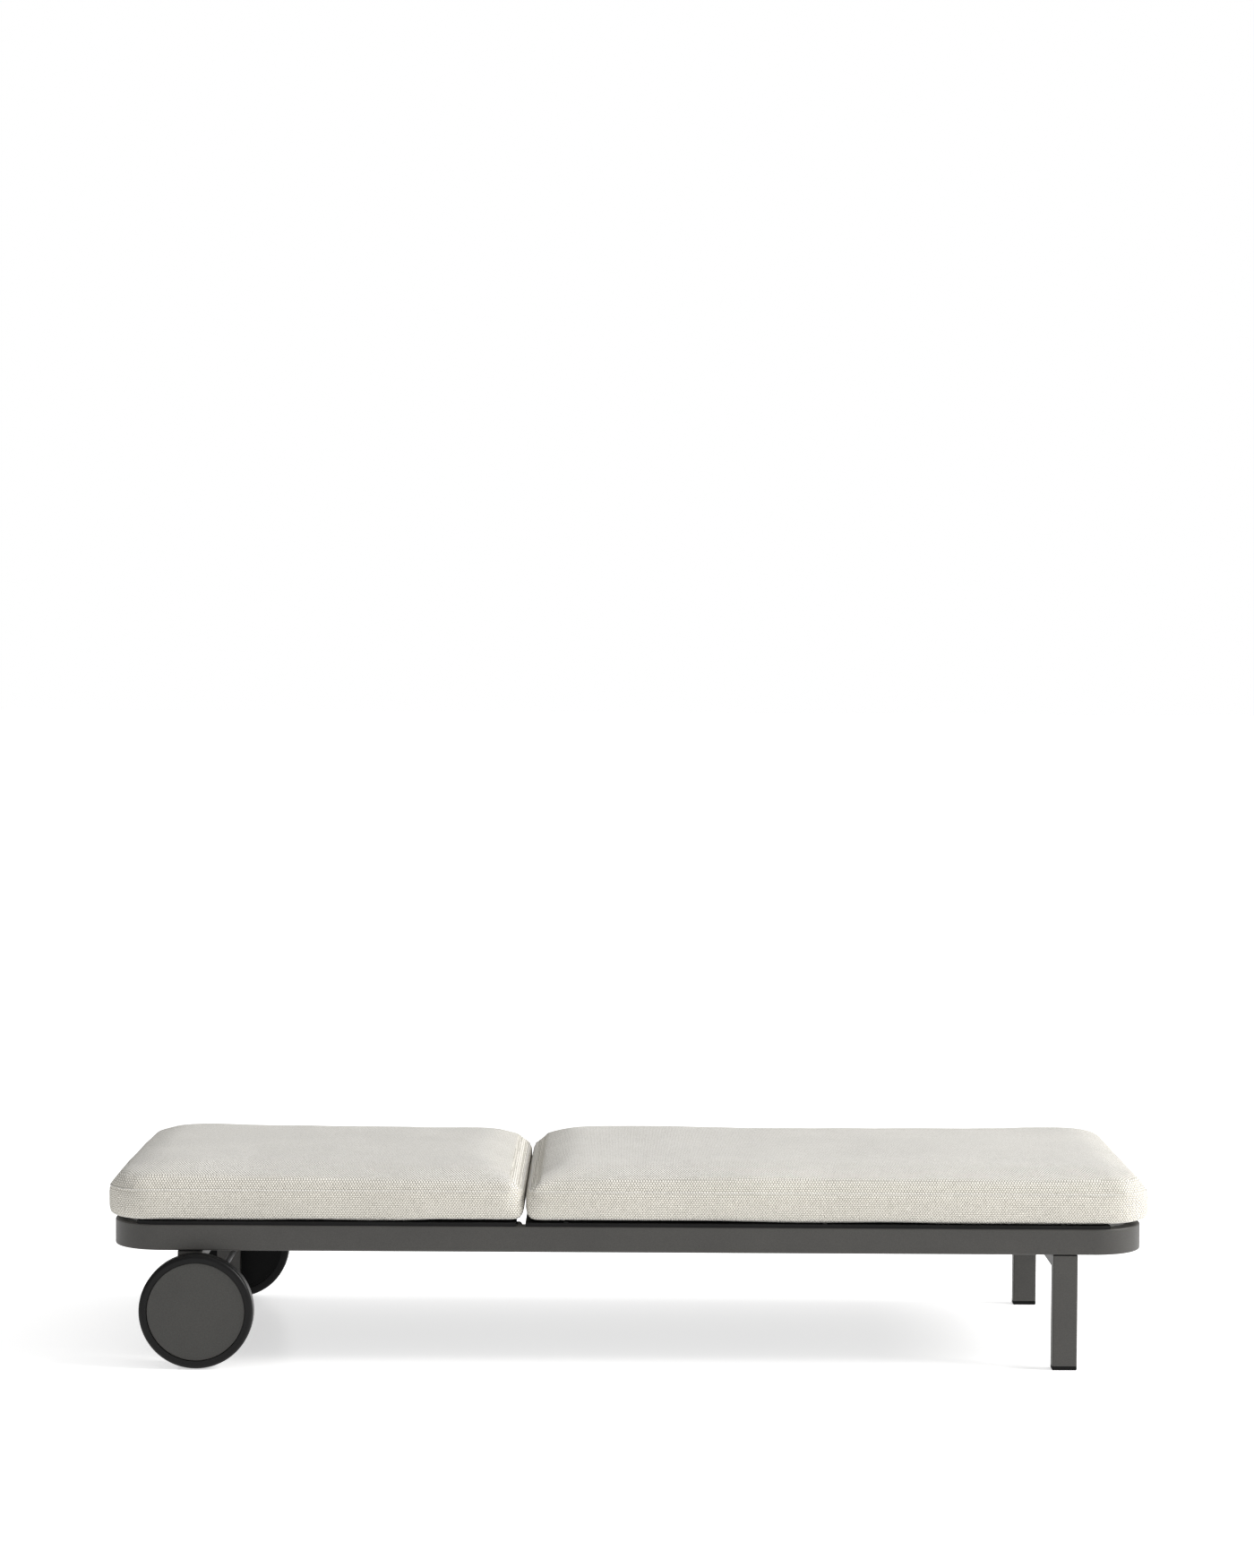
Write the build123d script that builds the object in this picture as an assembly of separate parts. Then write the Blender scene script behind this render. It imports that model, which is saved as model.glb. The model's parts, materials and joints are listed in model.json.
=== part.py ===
"""Reclining sun lounger: ring frame on four legs, two wheels, a backrest on a stay, two cushions.

Millimetres. +X runs from the head end to the foot end, +Y to the sitter's left, +Z up.
The origin is on the floor, under the centre of the ring frame. The backrest lies flat.
"""

import os
from math import cos, radians, sin, tan

from build123d import *

# Ring frame: rectangular tube bent round four corners.
RING_LENGTH = 2000.0
RING_WIDTH = 700.0
RING_BOTTOM = 224.0
TUBE_HEIGHT = 50.0
TUBE_WIDTH = 30.0
TUBE_WALL = 2.0
TUBE_EDGE = 3.0
BEND_RADIUS = 100.0
END_RAIL_REACH = 130.0  # how far a bent end rail runs in from the ring's end
RING_TOP = RING_BOTTOM + TUBE_HEIGHT
RAIL_OUTER_Y = RING_WIDTH / 2
RAIL_INNER_Y = RAIL_OUTER_Y - TUBE_WIDTH
RAIL_MID_Y = RAIL_OUTER_Y - TUBE_WIDTH / 2

# Legs, glides and crossbars.
LEG_WIDTH = 48.0
LEG_WALL = 2.5
LEG_OUTER_X = 868.0
LEG_X = LEG_OUTER_X - LEG_WIDTH / 2
LEG_PAD = 2.0
LEG_PAD_INSET = 1.0
LEG_TOP = RING_BOTTOM - LEG_PAD
LEG_END_PLATE = 4.0
GLIDE_HEIGHT = 8.0
GLIDE_PLUG = 20.0
GLIDE_PLAY = 0.1
GLIDE_CHAMFER = 1.5
INNER_EDGE = 1.0  # edge radius inside a leg
CROSSBAR_HEIGHT = 24.0
OVER = 1.0  # how far a cut runs past the face it opens

# Wheels on one axle through both head legs.
WHEEL_RADIUS = 110.0
WHEEL_WIDTH = 36.0
WHEEL_X = -829.0
WHEEL_Z = 111.5
WHEEL_INNER_Y = RAIL_OUTER_Y + 1.5
WHEEL_OUTER_Y = WHEEL_INNER_Y + WHEEL_WIDTH
TYRE_EDGE = 7.0
RIM_RADIUS = 95.0
RIM_WALL = 6.0
RIM_RECESS = 2.0  # how far the rim and the cover lie inside the tyre's sides
WEB_THICKNESS = 4.0
COVER_THICKNESS = 3.0
COVER_CHAMFER = 1.2
COVER_PLAY = 0.5
COVER_LIP = 7.0
COVER_LIP_WALL = 2.0
AXLE_RADIUS = 6.0
AXLE_END = 10.0  # how far the axle stands out of the wheel's boss
NUT_RADIUS = 10.4
NUT_HEIGHT = 8.5
WASHER_RADIUS = 13.0
BUSH_RADIUS = 9.0
BOSS_RADIUS = 17.0
BOSS_LENGTH = 20.0
SPOKES = 8
SPOKE_THICKNESS = 5.0
SPOKE_RECESS = 2.0  # how far a spoke ends below the boss

# Panels that lie on the ring, with an open gap between them at the hinge.
PANEL_THICKNESS = 6.0
PANEL_INSET = 1.0
SEAT_PANEL_X = (-198.0, 931.0)
BACK_PANEL_X = (-947.0, -216.0)
BACK_LIFT = 0.4  # running gap between the ring and the backrest
SLOT_LENGTH = 70.0
SLOT_WIDTH = 8.0
SLOT_PITCH_X = 60.0
SLOT_PITCH_Y = 110.0
SLOT_COLUMNS = 5

# Frames under the panels.
BEARER_WIDTH = 40.0
BEARER_HEIGHT = 20.0
BEARER_XS = (-170.0, 200.0, 570.0)
STRINGER = 20.0
STRINGER_Y = 280.0
STRINGER_X = (-900.0, -230.0)
CROSS_TUBE_XS = {"lower": -250.0, "middle": -585.0, "upper": -890.0}
SMALL_WALL = 2.0
STRINGER_BOTTOM = RING_TOP + BACK_LIFT - STRINGER

# Hinge of the backrest: close under the panel's edge, so that the edge never dips into the rails.
HINGE_X = -211.5
HINGE_Z = 268.0
RECLINE_MAX = 65.0
HINGE_PIN_RADIUS = 3.0
HINGE_PIN_HEAD = 5.0
RUNNING = 0.05
FIT = 0.02
HINGE_BUSH_RADIUS = 4.5
HINGE_BOSS_RADIUS = 6.0
EAR_REACH = 85.0
EAR_Y = (290.0, 296.0)
HINGE_BOSS_Y = (299.0, 314.0)
BRACKET_Y = (314.0, RAIL_INNER_Y)
BRACKET_REACH = 24.0
BRACKET_RAISE = 6.0  # from the ring's underside to the bracket's
HINGE_HEAD = 4.0

# Stay: its pivot and bar keep the bar level while it turns twice as far as the backrest.
STAY_PIVOT_X = -512.0
STAY_PIVOT_Z = 262.0
STAY_PIVOT_RADIUS = 4.0
STAY_HEAD_RADIUS = 7.0
STAY_NUT = 6.0
STAY_BAR_Z = 247.0
STAY_BAR_RADIUS = 6.0
STAY_BAR_Y = 318.0
STAY_ARM_HEIGHT = 16.0
STAY_ARM_Y = (291.0, 297.0)
PIVOT_ARM = HINGE_X - STAY_PIVOT_X
BAR_DROP = HINGE_Z - STAY_BAR_Z
PIVOT_RISE = STAY_PIVOT_Z - HINGE_Z
STAY_REACH = PIVOT_ARM + BAR_DROP * tan(radians(RECLINE_MAX / 2))
STAY_BAR_X = STAY_PIVOT_X - STAY_REACH

# Racks that the stay's bar rests in, one notch for each position of the backrest.
RACK_POSITIONS = (0.0, 15.0, 28.0, 40.0, 52.0, 65.0)
RACK_Y = (312.0, RAIL_INNER_Y)
RACK_X = (-856.0, -430.0)
RACK_BOTTOM = RING_BOTTOM + 1.0
RACK_SCREW_Z = RACK_BOTTOM + 4.0
RACK_CLEARANCE = 0.5
RACK_STEP = 5.0  # degrees of recline between the points of the rack's crest
NOTCH_DEPTH = 6.5
NOTCH_HALF = 6.4
NOTCH_RAMP = 12.0
RACK_SCREW_XS = (-766.0, -620.0, -515.0)
RACK_SCREW_HEAD = 3.8

# Screws.
SCREW_RADIUS = 2.5
SCREW_HEAD_RADIUS = 5.0
SCREW_HEAD_HEIGHT = 2.5
SCREW_LENGTH = 12.0
RAIL_SCREW_XS = (-120.0, 380.0, 840.0)
BEARER_SCREW_Y = 265.0
BACK_SCREW_XS = (-290.0, -470.0, -680.0, -870.0)
LEG_BOLT_RADIUS = 5.0
LEG_BOLT_HEAD_RADIUS = 9.0
LEG_BOLT_HEAD = 6.0
LEG_BOLT_REACH = 16.0
TAP_DEPTH = 5.0  # how deep a screw hole is cut into a rail

# Cushions.
CUSHION_HALF_WIDTH = 354.0
CUSHION_TOP = 382.0
CUSHION_CLEARANCE = 0.3
SEAT_CUSHION_X = (-198.5, 1018.0)
BACK_CUSHION_X = (-1015.0, -200.5)
CUSHION_END_RADIUS = 98.0
CUSHION_GAP_RADIUS = 32.0
CUSHION_TOP_EDGE = 26.0
CUSHION_BOTTOM_EDGE = 12.0


def block(x, y, z):
    """A box between three pairs of limits."""
    centre = Pos((x[0] + x[1]) / 2, (y[0] + y[1]) / 2, (z[0] + z[1]) / 2)
    return centre * Box(x[1] - x[0], y[1] - y[0], z[1] - z[0])


def rod(radius, x, z, y):
    """A round bar along Y."""
    place = Pos(x, (y[0] + y[1]) / 2, z) * Rot(90, 0, 0)
    return place * Cylinder(radius, y[1] - y[0])


def upright(radius, x, y, z):
    """A round bar along Z."""
    return Pos(x, y, (z[0] + z[1]) / 2) * Cylinder(radius, z[1] - z[0])


def tube_section(width, height, wall, edge):
    """The section of a rectangular tube with rounded edges."""
    inner = RectangleRounded(width - 2 * wall, height - 2 * wall, edge - wall + 0.5)
    return RectangleRounded(width, height, edge) - inner


def tube_along_x(x, y, z, width, height):
    """A rectangular tube along X, centred on y and z."""
    place = Plane(origin=(x[0], y, z), x_dir=(0, 1, 0), z_dir=(1, 0, 0))
    return extrude(place * tube_section(width, height, SMALL_WALL, SMALL_WALL), x[1] - x[0])


def tube_along_y(x, y, z, width, height):
    """A rectangular tube along Y, centred on x and z."""
    place = Plane(origin=(x, y[0], z), x_dir=(-1, 0, 0), z_dir=(0, 1, 0))
    return extrude(place * tube_section(width, height, SMALL_WALL, SMALL_WALL), y[1] - y[0])


def stay_bar_at(angle):
    """Where the stay's bar is, in X and Z, with the backrest at an angle."""
    turn = radians(angle)
    x = HINGE_X - (PIVOT_ARM + STAY_REACH) * cos(turn) + (BAR_DROP + 2 * PIVOT_RISE) * sin(turn)
    return x, HINGE_Z + (PIVOT_ARM - STAY_REACH) * sin(turn) - BAR_DROP * cos(turn)


def ring():
    """The whole ring frame, hollow, before it is divided into its rails."""
    def outline(inset):
        outer = RectangleRounded(RING_LENGTH - 2 * inset, RING_WIDTH - 2 * inset, BEND_RADIUS - inset)
        far = TUBE_WIDTH - inset
        return outer - RectangleRounded(RING_LENGTH - 2 * far, RING_WIDTH - 2 * far, BEND_RADIUS - far)
    solid = extrude(outline(0), TUBE_HEIGHT)
    loops = solid.edges().group_by(Axis.Z)
    solid = fillet(loops[0] + loops[-1], TUBE_EDGE)
    hollow = extrude(outline(TUBE_WALL), TUBE_HEIGHT - 2 * TUBE_WALL)
    return Pos(0, 0, RING_BOTTOM) * (solid - Pos(0, 0, TUBE_WALL) * hollow)


def rails():
    """The ring divided into two bent end rails and two straight side rails."""
    whole = ring()
    for x in RAIL_SCREW_XS:
        for side in (-1, 1):
            hole = (RING_TOP - TAP_DEPTH, RING_TOP + OVER)
            whole -= upright(SCREW_RADIUS + RUNNING, x, side * RAIL_MID_Y, hole)
    for x in (-LEG_X, LEG_X):
        for side in (-1, 1):
            hole = (RING_BOTTOM - OVER, RING_BOTTOM + TAP_DEPTH)
            whole -= upright(LEG_BOLT_RADIUS + RUNNING, x, side * RAIL_MID_Y, hole)
    across = (-RAIL_INNER_Y - TAP_DEPTH, RAIL_INNER_Y + TAP_DEPTH)
    for x in RACK_SCREW_XS:
        whole -= rod(SCREW_RADIUS + RUNNING, x, RACK_SCREW_Z, across)
    split = RING_LENGTH / 2 - END_RAIL_REACH
    z = (RING_BOTTOM - OVER, RING_TOP + OVER)
    wide = (-RING_WIDTH, RING_WIDTH)
    return {
        "head_rail": whole & block((-RING_LENGTH, -split), wide, z),
        "foot_rail": whole & block((split, RING_LENGTH), wide, z),
        "side_rail_left": whole & block((-split, split), (0, RING_WIDTH), z),
        "side_rail_right": whole & block((-split, split), (-RING_WIDTH, 0), z),
    }


def leg(x, bored):
    """A leg tube with a closed top plate, and a bore for the axle in a head leg."""
    body = extrude(RectangleRounded(LEG_WIDTH, TUBE_WIDTH, TUBE_EDGE), LEG_TOP - GLIDE_HEIGHT)
    inner = RectangleRounded(LEG_WIDTH - 2 * LEG_WALL, TUBE_WIDTH - 2 * LEG_WALL, INNER_EDGE)
    body -= extrude(inner, LEG_TOP - GLIDE_HEIGHT - LEG_END_PLATE)
    body = Pos(x, RAIL_MID_Y, GLIDE_HEIGHT) * body
    hole = (LEG_TOP - 2 * LEG_END_PLATE, LEG_TOP + OVER)
    body -= upright(LEG_BOLT_RADIUS + RUNNING, x, RAIL_MID_Y, hole)
    if bored:
        through = (RAIL_INNER_Y - OVER, RAIL_OUTER_Y + OVER)
        body -= rod(AXLE_RADIUS + RUNNING, WHEEL_X, WHEEL_Z, through)
    return body


def glide(x):
    """A plastic foot with a plug that fills the end of the leg."""
    foot = extrude(RectangleRounded(LEG_WIDTH, TUBE_WIDTH, TUBE_EDGE), GLIDE_HEIGHT)
    foot = chamfer(foot.edges().group_by(Axis.Z)[0], GLIDE_CHAMFER)
    gone = 2 * (LEG_WALL + GLIDE_PLAY)
    plug = RectangleRounded(LEG_WIDTH - gone, TUBE_WIDTH - gone, INNER_EDGE)
    foot += Pos(0, 0, GLIDE_HEIGHT) * extrude(plug, GLIDE_PLUG)
    return Pos(x, RAIL_MID_Y, 0) * foot


def leg_pad(x):
    """The thin spacer between a leg and the ring."""
    gone = 2 * LEG_PAD_INSET
    pad = extrude(RectangleRounded(LEG_WIDTH - gone, TUBE_WIDTH - gone, TUBE_EDGE), LEG_PAD)
    pad = Pos(x, RAIL_MID_Y, LEG_TOP) * pad
    return pad - upright(LEG_BOLT_RADIUS + RUNNING, x, RAIL_MID_Y, (LEG_TOP - OVER, RING_BOTTOM + OVER))


def leg_bolt(x):
    """A hexagon bolt from inside the leg up into the ring."""
    head_top = LEG_TOP - LEG_END_PLATE
    head = extrude(RegularPolygon(LEG_BOLT_HEAD_RADIUS, 6), LEG_BOLT_HEAD)
    bolt = Pos(x, RAIL_MID_Y, head_top - LEG_BOLT_HEAD) * head
    shank = (head_top - OVER, RING_BOTTOM + LEG_BOLT_REACH)
    return bolt + upright(LEG_BOLT_RADIUS, x, RAIL_MID_Y, shank)


def crossbar(x):
    """The bar between a pair of legs, its top level with the legs."""
    middle = RING_BOTTOM - CROSSBAR_HEIGHT / 2 - LEG_PAD
    return tube_along_y(x, (-RAIL_INNER_Y, RAIL_INNER_Y), middle, LEG_WIDTH, CROSSBAR_HEIGHT)


def panel(x, bottom, bars, tubes):
    """A flat panel that follows the ring's outline, with rows of drainage slots between its tubes."""
    outline = RectangleRounded(
        RING_LENGTH - 2 * PANEL_INSET, RING_WIDTH - 2 * PANEL_INSET, BEND_RADIUS - PANEL_INSET
    )
    sheet = Pos(0, 0, bottom) * extrude(outline, PANEL_THICKNESS)
    sheet &= block(x, (-RING_WIDTH, RING_WIDTH), (bottom - OVER, bottom + PANEL_THICKNESS + OVER))
    rows = int((x[1] - x[0] - SLOT_LENGTH) // SLOT_PITCH_X)
    start = (x[0] + x[1]) / 2 - rows * SLOT_PITCH_X / 2
    slot = extrude(SlotOverall(SLOT_LENGTH, SLOT_WIDTH, rotation=90), 3 * PANEL_THICKNESS)
    for row in range(rows + 1):
        row_x = start + row * SLOT_PITCH_X
        if min(abs(row_x - tube) for tube in tubes) < bars:
            continue
        for column in range(SLOT_COLUMNS):
            y = (column - (SLOT_COLUMNS - 1) / 2) * SLOT_PITCH_Y
            sheet -= Pos(row_x, y, bottom - PANEL_THICKNESS) * slot
    return sheet


def screw_tool(x, y, top, grow):
    """A countersunk screw standing head up, or the hole for it when grown a little."""
    low = top - SCREW_HEAD_HEIGHT
    cone = Cone(SCREW_RADIUS + grow, SCREW_HEAD_RADIUS + grow, SCREW_HEAD_HEIGHT)
    shank = upright(SCREW_RADIUS + grow, x, y, (top - SCREW_LENGTH - grow, low + 0.1))
    return Pos(x, y, (top + low) / 2) * cone + shank


def seat_screw_places():
    """Where the seat panel is screwed to its bearers and the rails."""
    places = [(x, side * BEARER_SCREW_Y) for x in BEARER_XS for side in (-1, 1)]
    return places + [(x, side * RAIL_MID_Y) for x in RAIL_SCREW_XS for side in (-1, 1)]


def back_screw_places():
    """Where the backrest panel is screwed to its stringers."""
    return [(x, side * STRINGER_Y) for x in BACK_SCREW_XS for side in (-1, 1)]


def bearer(x):
    """A tube under the seat panel, between the side rails."""
    middle = RING_TOP - BEARER_HEIGHT / 2
    tube = tube_along_y(x, (-RAIL_INNER_Y, RAIL_INNER_Y), middle, BEARER_WIDTH, BEARER_HEIGHT)
    for side in (-1, 1):
        hole = (RING_TOP - TAP_DEPTH, RING_TOP + OVER)
        tube -= upright(SCREW_RADIUS + RUNNING, x, side * BEARER_SCREW_Y, hole)
    return tube


def stringer():
    """A lengthwise tube under the backrest panel, bored for its screws and the stay's pivot."""
    tube = tube_along_x(STRINGER_X, STRINGER_Y, STRINGER_BOTTOM + STRINGER / 2, STRINGER, STRINGER)
    for x in BACK_SCREW_XS:
        hole = (RING_TOP - TAP_DEPTH, RING_TOP + OVER)
        tube -= upright(SCREW_RADIUS + RUNNING, x, STRINGER_Y, hole)
    through = (STRINGER_Y - STRINGER, STRINGER_Y + STRINGER)
    return tube - rod(STAY_PIVOT_RADIUS + RUNNING, STAY_PIVOT_X, STAY_PIVOT_Z, through)


def cross_tube(x):
    """A tube between the stringers."""
    reach = STRINGER_Y - STRINGER / 2
    return tube_along_y(x, (-reach, reach), STRINGER_BOTTOM + STRINGER / 2, STRINGER, STRINGER)


def hinge_bracket():
    """A lug on the inner face of a rail, with a boss that holds the bush."""
    length = (HINGE_X - BRACKET_REACH, HINGE_X + HINGE_BOSS_RADIUS)
    body = block(length, BRACKET_Y, (RING_BOTTOM + BRACKET_RAISE, HINGE_Z))
    body += rod(HINGE_BOSS_RADIUS, HINGE_X, HINGE_Z, (HINGE_BOSS_Y[0], BRACKET_Y[1]))
    bore = (HINGE_BOSS_Y[0] - OVER, BRACKET_Y[1] + OVER)
    return body - rod(HINGE_BUSH_RADIUS + FIT, HINGE_X, HINGE_Z, bore)


def hinge_bush():
    """A flanged bush in the bracket."""
    body = rod(HINGE_BUSH_RADIUS, HINGE_X, HINGE_Z, (HINGE_BOSS_Y[0] - 1, BRACKET_Y[1] - 1))
    body += rod(HINGE_BOSS_RADIUS - 0.2, HINGE_X, HINGE_Z, (HINGE_BOSS_Y[0] - 2, HINGE_BOSS_Y[0]))
    return body - rod(HINGE_PIN_RADIUS + RUNNING, HINGE_X, HINGE_Z, (EAR_Y[0], BRACKET_Y[1]))


def hinge_ear():
    """The flat arm on a stringer that carries the hinge pin."""
    height = (HINGE_Z - HINGE_BOSS_RADIUS, HINGE_Z + HINGE_BOSS_RADIUS)
    plate = block((HINGE_X - EAR_REACH, HINGE_X), EAR_Y, height)
    plate += rod(HINGE_BOSS_RADIUS, HINGE_X, HINGE_Z, EAR_Y)
    return plate - rod(HINGE_PIN_RADIUS + FIT, HINGE_X, HINGE_Z, (EAR_Y[0] - OVER, EAR_Y[1] + OVER))


def hinge_pin():
    """The headed pin that turns in the bush."""
    head = rod(HINGE_PIN_HEAD, HINGE_X, HINGE_Z, (EAR_Y[0] - HINGE_HEAD, EAR_Y[0]))
    shank = (EAR_Y[0] - HINGE_HEAD / 2, BRACKET_Y[1] - 2)
    return head + rod(HINGE_PIN_RADIUS, HINGE_X, HINGE_Z, shank)


def stay_pivot():
    """The bolt and nut that a stay arm turns on."""
    inner = STRINGER_Y - STRINGER / 2
    shank = (inner - STAY_NUT - OVER, STAY_ARM_Y[1] + 2)
    bolt = rod(STAY_PIVOT_RADIUS, STAY_PIVOT_X, STAY_PIVOT_Z, shank)
    head = (STAY_ARM_Y[1] + 0.5, STAY_ARM_Y[1] + 5)
    bolt += rod(STAY_HEAD_RADIUS, STAY_PIVOT_X, STAY_PIVOT_Z, head)
    return bolt + rod(STAY_HEAD_RADIUS, STAY_PIVOT_X, STAY_PIVOT_Z, (inner - STAY_NUT, inner))


def stay_arm():
    """A flat arm from the pivot to the bar."""
    start = Vector(STAY_PIVOT_X, STAY_PIVOT_Z)
    end = Vector(STAY_BAR_X, STAY_BAR_Z)
    outline = SlotCenterPoint((start + end) * 0.5, start, STAY_ARM_HEIGHT)
    place = Plane(origin=(0, STAY_ARM_Y[1], 0), x_dir=(1, 0, 0), z_dir=(0, -1, 0))
    arm = extrude(place * outline, STAY_ARM_Y[1] - STAY_ARM_Y[0])
    through = (STAY_ARM_Y[0] - OVER, STAY_ARM_Y[1] + OVER)
    arm -= rod(STAY_PIVOT_RADIUS + RUNNING, STAY_PIVOT_X, STAY_PIVOT_Z, through)
    return arm - rod(STAY_BAR_RADIUS + FIT, STAY_BAR_X, STAY_BAR_Z, through)


def rack():
    """A notched bar on the inner face of a rail; its crest follows the bar's path."""
    drop = STAY_BAR_RADIUS + RACK_CLEARANCE
    steps = int(RECLINE_MAX / RACK_STEP) + 1
    path = [stay_bar_at(RACK_STEP * n) for n in range(steps)]
    crest = [(x, z - drop) for x, z in path]
    ends = [(RACK_X[0], crest[0][1]), (RACK_X[1], crest[-1][1])]
    outline = [(RACK_X[1], RACK_BOTTOM), (RACK_X[0], RACK_BOTTOM), ends[0]] + crest + [ends[1]]
    place = Plane(origin=(0, RACK_Y[1], 0), x_dir=(1, 0, 0), z_dir=(0, -1, 0))
    body = extrude(place * Polygon(*outline, align=None), RACK_Y[1] - RACK_Y[0], dir=(0, -1, 0))
    for angle in RACK_POSITIONS:
        x, z = stay_bar_at(angle)
        top = z - drop + 2
        floor = z - drop - NOTCH_DEPTH
        notch = Polygon(
            (x - NOTCH_HALF, top),
            (x - NOTCH_HALF, floor),
            (x + NOTCH_HALF, floor),
            (x + NOTCH_HALF + NOTCH_RAMP, top),
            align=None,
        )
        body -= extrude(place * notch, RACK_Y[1] - RACK_Y[0], dir=(0, -1, 0))
    for x in RACK_SCREW_XS:
        body -= rod(SCREW_RADIUS + RUNNING, x, RACK_SCREW_Z, (RACK_Y[0] - OVER, RACK_Y[1] + OVER))
    return body


def rack_screws():
    """The screws that hold a rack to its rail."""
    screws = []
    for x in RACK_SCREW_XS:
        shank = rod(SCREW_RADIUS, x, RACK_SCREW_Z, (RACK_Y[0] - OVER, RAIL_INNER_Y + 4))
        head = (RACK_Y[0] - SCREW_HEAD_HEIGHT, RACK_Y[0])
        screws.append(shank + rod(RACK_SCREW_HEAD, x, RACK_SCREW_Z, head))
    return screws


def wheel_ring(outer, inner, y):
    """A plain ring round the axle."""
    cut = (y[0] - OVER, y[1] + OVER)
    return rod(outer, WHEEL_X, WHEEL_Z, y) - rod(inner, WHEEL_X, WHEEL_Z, cut)


def tyre():
    """A rubber tyre with rounded shoulders."""
    body = wheel_ring(WHEEL_RADIUS, RIM_RADIUS, (WHEEL_INNER_Y, WHEEL_OUTER_Y))
    shoulders = body.edges().filter_by(GeomType.CIRCLE).group_by(SortBy.RADIUS)[-1]
    return fillet(shoulders, TYRE_EDGE)


def rim():
    """The wheel body: rim, a web that closes its inner side, spokes and the boss for the bush."""
    inner_side = WHEEL_INNER_Y + RIM_RECESS
    face = WHEEL_OUTER_Y - RIM_RECESS - COVER_THICKNESS
    web_end = inner_side + 1 + WEB_THICKNESS
    boss_end = WHEEL_INNER_Y + BOSS_LENGTH
    body = wheel_ring(RIM_RADIUS - FIT, RIM_RADIUS - RIM_WALL, (inner_side, face))
    body += rod(RIM_RADIUS - RIM_WALL + OVER, WHEEL_X, WHEEL_Z, (inner_side + 1, web_end))
    body += rod(BOSS_RADIUS, WHEEL_X, WHEEL_Z, (WHEEL_INNER_Y, boss_end))
    inner_end = BOSS_RADIUS - 2
    reach = RIM_RADIUS - RIM_WALL + 2 - inner_end
    spoke_y = (web_end - OVER, boss_end - SPOKE_RECESS)
    spoke = Box(reach, spoke_y[1] - spoke_y[0], SPOKE_THICKNESS)
    for n in range(SPOKES):
        turn = Pos(WHEEL_X, (spoke_y[0] + spoke_y[1]) / 2, WHEEL_Z) * Rot(0, 360 * n / SPOKES, 0)
        body += turn * Pos(inner_end + reach / 2, 0, 0) * spoke
    return body - rod(BUSH_RADIUS + FIT, WHEEL_X, WHEEL_Z, (WHEEL_INNER_Y - OVER, boss_end + OVER))


def wheel_bush():
    """The plain bearing in the wheel's boss."""
    y = (WHEEL_INNER_Y, WHEEL_INNER_Y + BOSS_LENGTH)
    return wheel_ring(BUSH_RADIUS, AXLE_RADIUS + RUNNING, y)


def wheel_cover():
    """The flat disc that closes the outer side of the wheel, with a lip inside the rim."""
    face = WHEEL_OUTER_Y - RIM_RECESS
    back = face - COVER_THICKNESS
    disc = rod(RIM_RADIUS - COVER_PLAY, WHEEL_X, WHEEL_Z, (back, face))
    disc = chamfer(disc.edges().filter_by(GeomType.CIRCLE).sort_by(Axis.Y)[-1], COVER_CHAMFER)
    inner = RIM_RADIUS - RIM_WALL - FIT
    return disc + wheel_ring(inner, inner - COVER_LIP_WALL, (back - COVER_LIP, back + COVER_PLAY))


def axle():
    """One round axle through both head legs."""
    reach = WHEEL_INNER_Y + BOSS_LENGTH + AXLE_END
    return rod(AXLE_RADIUS, WHEEL_X, WHEEL_Z, (-reach, reach))


def axle_nut():
    """The lock nut that keeps a wheel on."""
    y = WHEEL_INNER_Y + BOSS_LENGTH + 0.3
    place = Plane(origin=(WHEEL_X, y, WHEEL_Z), x_dir=(1, 0, 0), z_dir=(0, 1, 0))
    nut = extrude(place * RegularPolygon(NUT_RADIUS, 6), NUT_HEIGHT)
    return nut - rod(AXLE_RADIUS + FIT, WHEEL_X, WHEEL_Z, (y - OVER, y + NUT_HEIGHT + OVER))


def axle_washer():
    """The washer between a leg and its wheel."""
    y = (RAIL_OUTER_Y + 0.1, WHEEL_INNER_Y - 0.2)
    return wheel_ring(WASHER_RADIUS, AXLE_RADIUS + RUNNING, y)


def cushion(x, bottom, gap_at_high_x):
    """A boxed cushion: large plan corners at its outer end, small ones at the gap."""
    body = extrude(
        Rectangle(x[1] - x[0], 2 * CUSHION_HALF_WIDTH),
        CUSHION_TOP - bottom,
    )
    corners = body.edges().filter_by(Axis.Z).sort_by(Axis.X)
    body = fillet(corners[:2] if gap_at_high_x else corners[-2:], CUSHION_END_RADIUS)
    corners = body.edges().filter_by(Axis.Z).sort_by(Axis.X)
    body = fillet(corners[-2:] if gap_at_high_x else corners[:2], CUSHION_GAP_RADIUS)
    body = fillet(body.edges().group_by(Axis.Z)[-1], CUSHION_TOP_EDGE)
    body = fillet(body.edges().group_by(Axis.Z)[0], CUSHION_BOTTOM_EDGE)
    return Pos((x[0] + x[1]) / 2, 0, bottom) * body


def both_sides(name, left):
    """A left piece and its mirror image."""
    return {f"{name}_left": left, f"{name}_right": mirror(left, Plane.XZ)}


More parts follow.
